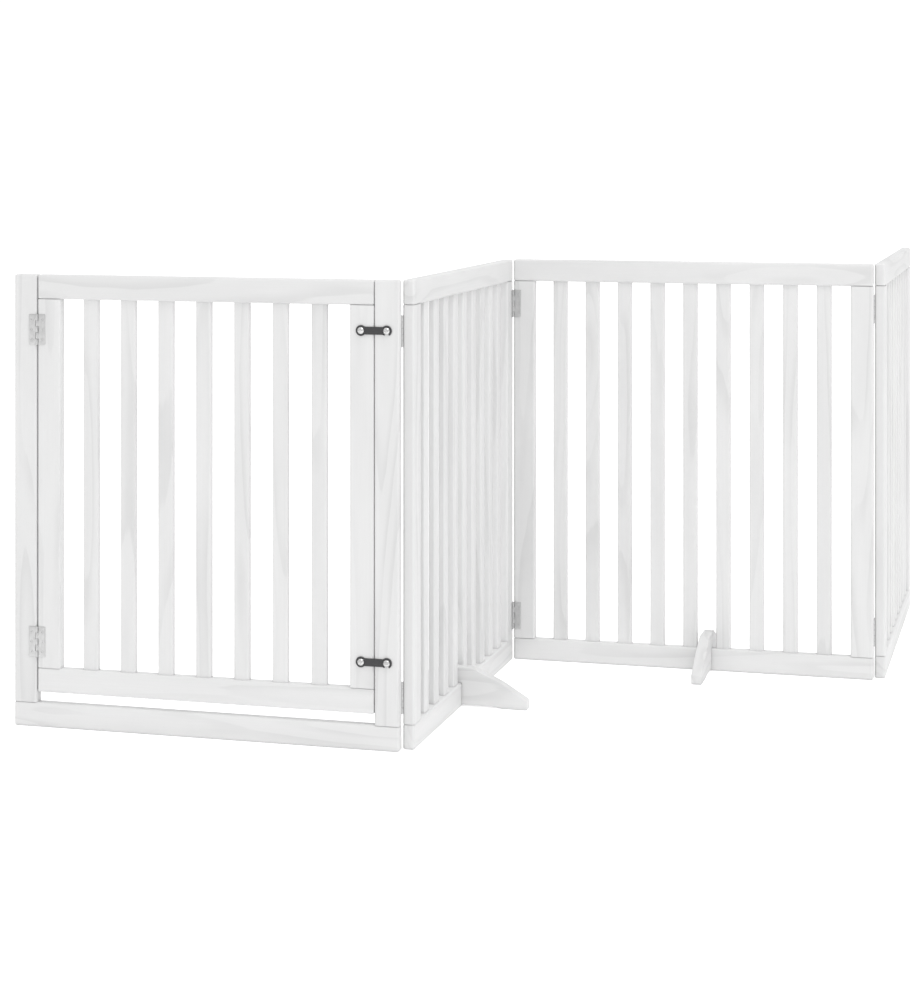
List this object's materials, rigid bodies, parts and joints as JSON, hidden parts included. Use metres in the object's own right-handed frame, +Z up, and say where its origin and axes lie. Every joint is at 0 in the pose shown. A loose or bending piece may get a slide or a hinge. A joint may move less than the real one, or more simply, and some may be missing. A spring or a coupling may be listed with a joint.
{
  "type": "pet gate",
  "caption": "Free-standing white wooden folding pet gate: hinged slatted panels in a zigzag, one holding a door with turn latches, steadied by slotted feet.",
  "frame": {"origin": "centre of the gate's plan at floor level, with the gate standing in its zigzag", "axes": "+X to the right along panel 1 (the door panel) and panel 3, +Y away from the door's front along panels 2 and 4, +Z up"},
  "size_m": [1.2818, 1.2871, 0.7],
  "materials": {
    "painted_wood": "satin white paint over softwood",
    "dowel_wood": "bare beech",
    "hinge_steel": "satin grey zinc plate",
    "screw_steel": "satin grey zinc plate",
    "latch_screw_steel": "bright zinc plate",
    "latch_black": "satin black coating"
  },
  "bodies": {
    "door_frame": {"frame_left_post": "painted_wood", "frame_right_post": "painted_wood", "frame_base_rail": "painted_wood", "frame_dowels": "dowel_wood", "frame_hinge_screws": "screw_steel", "latch_catch_screws": "latch_screw_steel", "door_hinge_post_leaves": "hinge_steel", "door_hinge_pins": "hinge_steel", "corner_1_fixed_leaves": "hinge_steel", "corner_1_hinge_pins": "hinge_steel"},
    "door": {"door_top_rail": "painted_wood", "door_bottom_rail": "painted_wood", "door_left_stile": "painted_wood", "door_right_stile": "painted_wood", "door_slat_1": "painted_wood", "door_slat_2": "painted_wood", "door_slat_3": "painted_wood", "door_slat_4": "painted_wood", "door_slat_5": "painted_wood", "door_slat_6": "painted_wood", "door_slat_7": "painted_wood", "door_dowels": "dowel_wood", "door_hinge_screws": "screw_steel", "door_hinge_door_leaves": "hinge_steel", "latch_pivot_screws": "latch_screw_steel"},
    "upper_latch": {"upper_latch_hook": "latch_black"},
    "lower_latch": {"lower_latch_hook": "latch_black"},
    "panel_2": {"panel_2_top_rail": "painted_wood", "panel_2_base_rail": "painted_wood", "panel_2_left_stile": "painted_wood", "panel_2_right_stile": "painted_wood", "panel_2_slats": "painted_wood", "panel_2_dowels": "dowel_wood", "panel_2_hinge_screws": "screw_steel", "corner_1_moving_leaves": "hinge_steel", "corner_2_fixed_leaves": "hinge_steel", "corner_2_hinge_pins": "hinge_steel"},
    "panel_3": {"panel_3_top_rail": "painted_wood", "panel_3_base_rail": "painted_wood", "panel_3_left_stile": "painted_wood", "panel_3_right_stile": "painted_wood", "panel_3_slats": "painted_wood", "panel_3_dowels": "dowel_wood", "panel_3_hinge_screws": "screw_steel", "corner_2_moving_leaves": "hinge_steel", "corner_3_fixed_leaves": "hinge_steel", "corner_3_hinge_pins": "hinge_steel"},
    "panel_4": {"panel_4_top_rail": "painted_wood", "panel_4_base_rail": "painted_wood", "panel_4_left_stile": "painted_wood", "panel_4_right_stile": "painted_wood", "panel_4_slats": "painted_wood", "panel_4_dowels": "dowel_wood", "panel_4_hinge_screws": "screw_steel", "corner_3_moving_leaves": "hinge_steel"},
    "foot_on_panel_2": {"panel_2_foot": "painted_wood"},
    "foot_on_panel_3": {"panel_3_foot": "painted_wood"}
  },
  "joints": [
    {"name": "door_swing", "type": "hinge", "parent": "door_frame", "child": "door", "pos_m": [-0.60227, -0.63878, 0], "axis": [0, 0, -1], "range_deg": [0, 155]},
    {"name": "corner_1_fold", "type": "hinge", "parent": "door_frame", "child": "panel_2", "pos_m": [-0.01882, -0.61976, 0], "axis": [0, 0, 1], "range_deg": [-90, 66]},
    {"name": "corner_2_fold", "type": "hinge", "parent": "panel_2", "child": "panel_3", "pos_m": [0.00021, 0.00244, 0], "axis": [0, 0, -1], "range_deg": [-90, 52]},
    {"name": "corner_3_fold", "type": "hinge", "parent": "panel_3", "child": "panel_4", "pos_m": [0.62241, 0.02147, 0], "axis": [0, 0, 1], "range_deg": [-90, 66]},
    {"name": "upper_latch_turn", "type": "hinge", "parent": "door", "child": "upper_latch", "pos_m": [-0.07722, -0.63827, 0.6245], "axis": [0, -1, 0], "range_deg": [0, 180]},
    {"name": "lower_latch_turn", "type": "hinge", "parent": "door", "child": "lower_latch", "pos_m": [-0.07722, -0.63827, 0.1315], "axis": [0, -1, 0], "range_deg": [0, 180]},
    {"name": "panel_2_foot_lift", "type": "slide", "parent": "panel_2", "child": "foot_on_panel_2", "axis": [0, 0, 1], "range_m": [0, 0.045]},
    {"name": "panel_3_foot_lift", "type": "slide", "parent": "panel_3", "child": "foot_on_panel_3", "axis": [0, 0, 1], "range_m": [0, 0.045]}
  ]
}
